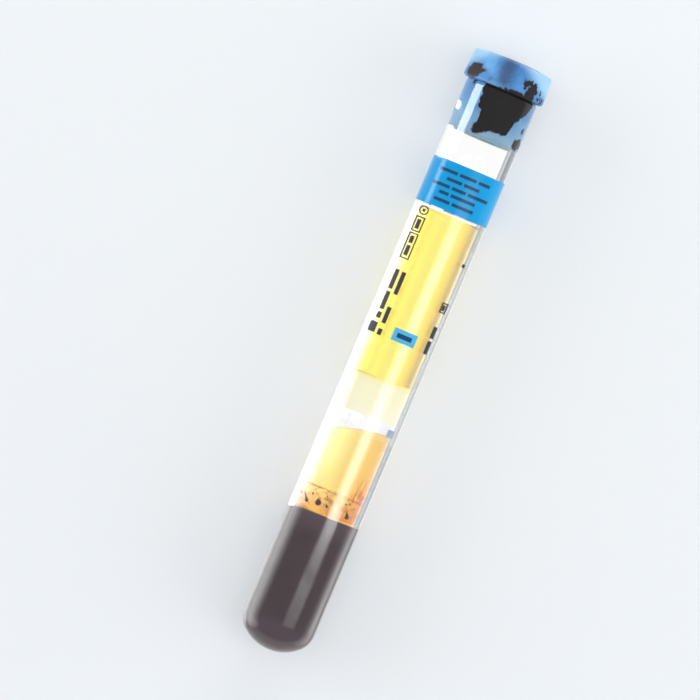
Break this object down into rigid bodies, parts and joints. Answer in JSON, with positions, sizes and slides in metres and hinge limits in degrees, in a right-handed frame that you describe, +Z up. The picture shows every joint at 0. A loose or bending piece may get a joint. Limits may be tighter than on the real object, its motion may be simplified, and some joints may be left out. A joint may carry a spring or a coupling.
{
  "type": "blood collection tube",
  "caption": "Glass tube with a round bottom and a marbled rubber stopper, a clear banded label and spun blood in layers over a gel barrier.",
  "frame": {"origin": "on the surface that the tube lies on, under the middle of its length and width", "axes": "+Y along the tube towards the stopper (the tube's own axis rises by half a degree), +Z up from the surface, +X to the right when seen from above with the stopper at the top"},
  "size_m": [0.0142, 0.107, 0.0143],
  "materials": {
    "glass": "gloss",
    "stopper_rubber": "satin",
    "label_film": "gloss",
    "plasma": "gloss",
    "cell_band": "gloss",
    "density_fluid": "gloss",
    "gel": "gloss",
    "red_cells": "gloss"
  },
  "bodies": {
    "tube": {"glass_tube": "glass", "label_film": "label_film", "plasma": "plasma", "cell_band": "cell_band", "density_fluid": "density_fluid", "gel_barrier": "gel", "trapped_cells": "red_cells", "red_cells": "red_cells"},
    "closure": {"stopper": "stopper_rubber"}
  },
  "joints": [
    {"name": "stopper_pull", "type": "slide", "parent": "tube", "child": "closure", "axis": [0, 1, 0.0082], "range_m": [0, 0.02]}
  ]
}
